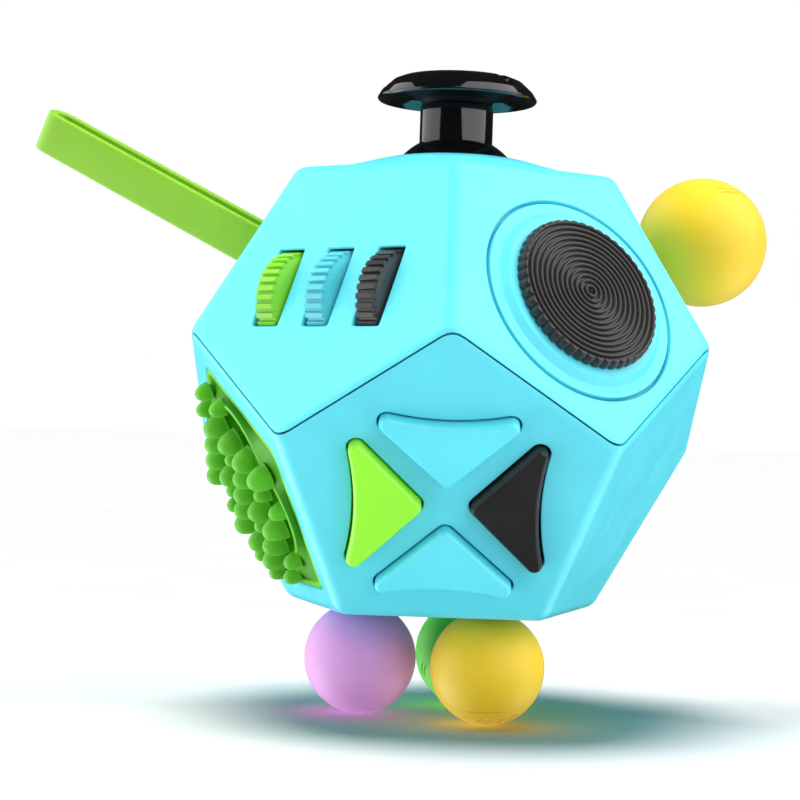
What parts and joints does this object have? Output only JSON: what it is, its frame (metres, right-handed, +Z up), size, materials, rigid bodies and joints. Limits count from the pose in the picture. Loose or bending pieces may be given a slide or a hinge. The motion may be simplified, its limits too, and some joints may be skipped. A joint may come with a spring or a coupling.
{
  "type": "twelve-sided fidget toy",
  "caption": "Hand-held dodecahedron fidget toy with a joystick, thumb wheels, dial, direction pad, spike pad, turning balls, strap loop, rocker and slider on its faces.",
  "frame": {"origin": "on the case's vertical axis, at the level of the surface that the three foot balls stand on", "axes": "+Z up towards the joystick, front (direction pad) towards -Y, side ball towards +X"},
  "size_m": [0.0943, 0.064, 0.0774],
  "materials": {
    "case_cyan": "satin moulded plastic",
    "key_cyan": "satin moulded plastic",
    "lime_plastic": "satin moulded plastic",
    "black_plastic": "satin moulded plastic",
    "joystick_black": "polished",
    "inner_plastic": "as moulded",
    "rubber_white": "translucent silicone rubber",
    "spike_green": "soft silicone",
    "frame_lime": "satin moulded plastic",
    "ball_pink": "smooth silicone",
    "ball_yellow": "smooth silicone",
    "ball_green": "smooth silicone",
    "strap_lime": "smooth silicone",
    "knob_yellow": "polished",
    "steel": "bright"
  },
  "bodies": {
    "case": {"upper_shell": "case_cyan", "lower_shell": "case_cyan", "shell_screws": "steel", "joystick_base": "inner_plastic", "joystick_base_pins": "steel", "joystick_spring": "steel", "gear_axle": "steel", "gear_bracket": "inner_plastic", "gear_click_spring": "steel", "gear_bracket_screws": "steel", "dial_bezel": "case_cyan", "button_mat": "rubber_white", "button_back_plate": "inner_plastic", "button_plate_screws": "steel", "spike_frame": "frame_lime", "spike_pad": "spike_green", "spike_retainer": "inner_plastic", "side_ball_bush": "case_cyan", "strap_pin": "steel", "rocker_frame": "case_cyan", "rocker_pin": "steel", "slider_track": "black_plastic"},
    "joystick_ring": {"joystick_gimbal_ring": "steel", "joystick_gimbal_pins": "steel"},
    "joystick": {"joystick_cap": "joystick_black", "joystick_stem": "joystick_black", "joystick_dome": "joystick_black"},
    "gear_green": {"gear_wheel_green": "lime_plastic"},
    "gear_cyan": {"gear_wheel_cyan": "key_cyan"},
    "gear_black": {"gear_wheel_black": "black_plastic"},
    "dial": {"dial_disc": "black_plastic", "dial_shaft": "steel", "dial_clip": "steel"},
    "button_up": {"button_up": "key_cyan"},
    "button_left": {"button_left": "lime_plastic"},
    "button_down": {"button_down": "key_cyan"},
    "button_right": {"button_right": "black_plastic"},
    "foot_pink": {"foot_ball_pink": "ball_pink", "foot_pin_pink": "steel", "foot_clip_pink": "steel"},
    "foot_yellow": {"foot_ball_yellow": "ball_yellow", "foot_pin_yellow": "steel", "foot_clip_yellow": "steel"},
    "foot_green": {"foot_ball_green": "ball_green", "foot_pin_green": "steel", "foot_clip_green": "steel"},
    "side_ball": {"side_ball": "ball_yellow", "side_ball_stem": "steel", "side_ball_clip": "steel"},
    "strap": {"strap_loop": "strap_lime"},
    "rocker": {"rocker_key": "black_plastic"},
    "slider": {"slider_knob": "knob_yellow", "slider_clip": "steel"}
  },
  "joints": [
    {"name": "joystick_tilt_x", "type": "hinge", "parent": "case", "child": "joystick_ring", "pos_m": [0, 0, 0.06174], "axis": [1, 0, 0], "range_deg": [-14, 14], "stiffness_Nm_per_rad": 0.03},
    {"name": "joystick_tilt_y", "type": "hinge", "parent": "joystick_ring", "child": "joystick", "pos_m": [0, 0, 0.06174], "axis": [0, 1, 0], "range_deg": [-14, 14], "stiffness_Nm_per_rad": 0.03, "deforming": ["joystick_spring"]},
    {"name": "gear_green_spin", "type": "hinge", "parent": "case", "child": "gear_green", "pos_m": [-0.01223, -0.01632, 0.04873], "axis": [0.809, -0.5878, 0], "continuous": true},
    {"name": "gear_cyan_spin", "type": "hinge", "parent": "case", "child": "gear_cyan", "pos_m": [-0.01223, -0.01632, 0.04873], "axis": [0.809, -0.5878, 0], "continuous": true},
    {"name": "gear_black_spin", "type": "hinge", "parent": "case", "child": "gear_black", "pos_m": [-0.01223, -0.01632, 0.04873], "axis": [0.809, -0.5878, 0], "continuous": true},
    {"name": "dial_spin", "type": "hinge", "parent": "case", "child": "dial", "pos_m": [0.01448, -0.01908, 0.0499], "axis": [0.5257, -0.7236, 0.4472], "continuous": true},
    {"name": "button_up_press", "type": "slide", "parent": "case", "child": "button_up", "axis": [0, 0.8944, 0.4472], "range_m": [0, 0.0012], "stiffness_N_per_m": 700, "springref_m": -0.0003, "deforming": ["button_mat"]},
    {"name": "button_left_press", "type": "slide", "parent": "case", "child": "button_left", "axis": [0, 0.8944, 0.4472], "range_m": [0, 0.0012], "stiffness_N_per_m": 700, "springref_m": -0.0003, "deforming": ["button_mat"]},
    {"name": "button_down_press", "type": "slide", "parent": "case", "child": "button_down", "axis": [0, 0.8944, 0.4472], "range_m": [0, 0.0012], "stiffness_N_per_m": 700, "springref_m": -0.0003, "deforming": ["button_mat"]},
    {"name": "button_right_press", "type": "slide", "parent": "case", "child": "button_right", "axis": [0, 0.8944, 0.4472], "range_m": [0, 0.0012], "stiffness_N_per_m": 700, "springref_m": -0.0003, "deforming": ["button_mat"]},
    {"name": "foot_pink_spin", "type": "hinge", "parent": "case", "child": "foot_pink", "pos_m": [-0.00955, -0.001, 0.00675], "axis": [0, 0, 1], "continuous": true},
    {"name": "foot_yellow_spin", "type": "hinge", "parent": "case", "child": "foot_yellow", "pos_m": [0.00564, -0.00777, 0.00675], "axis": [0, 0, 1], "continuous": true},
    {"name": "foot_green_spin", "type": "hinge", "parent": "case", "child": "foot_green", "pos_m": [0.0039, 0.00877, 0.00675], "axis": [0, 0, 1], "continuous": true},
    {"name": "side_ball_spin", "type": "hinge", "parent": "case", "child": "side_ball", "pos_m": [0.03166, 0.01029, 0.05938], "axis": [0.8507, 0.2764, 0.4472], "continuous": true},
    {"name": "strap_flex", "type": "hinge", "parent": "case", "child": "strap", "pos_m": [-0.01864, 0.00606, 0.0541], "axis": [0.4253, -0.1382, 0.8944], "range_deg": [-30, 30], "stiffness_Nm_per_rad": 0.004},
    {"name": "rocker_tilt", "type": "hinge", "parent": "case", "child": "rocker", "pos_m": [0, 0.02233, 0.05043], "axis": [-1, 0, 0], "range_deg": [-8, 8]},
    {"name": "slider_slide", "type": "slide", "parent": "case", "child": "slider", "axis": [-0.809, -0.5878, 0], "range_m": [-0.0045, 0.0045]}
  ]
}
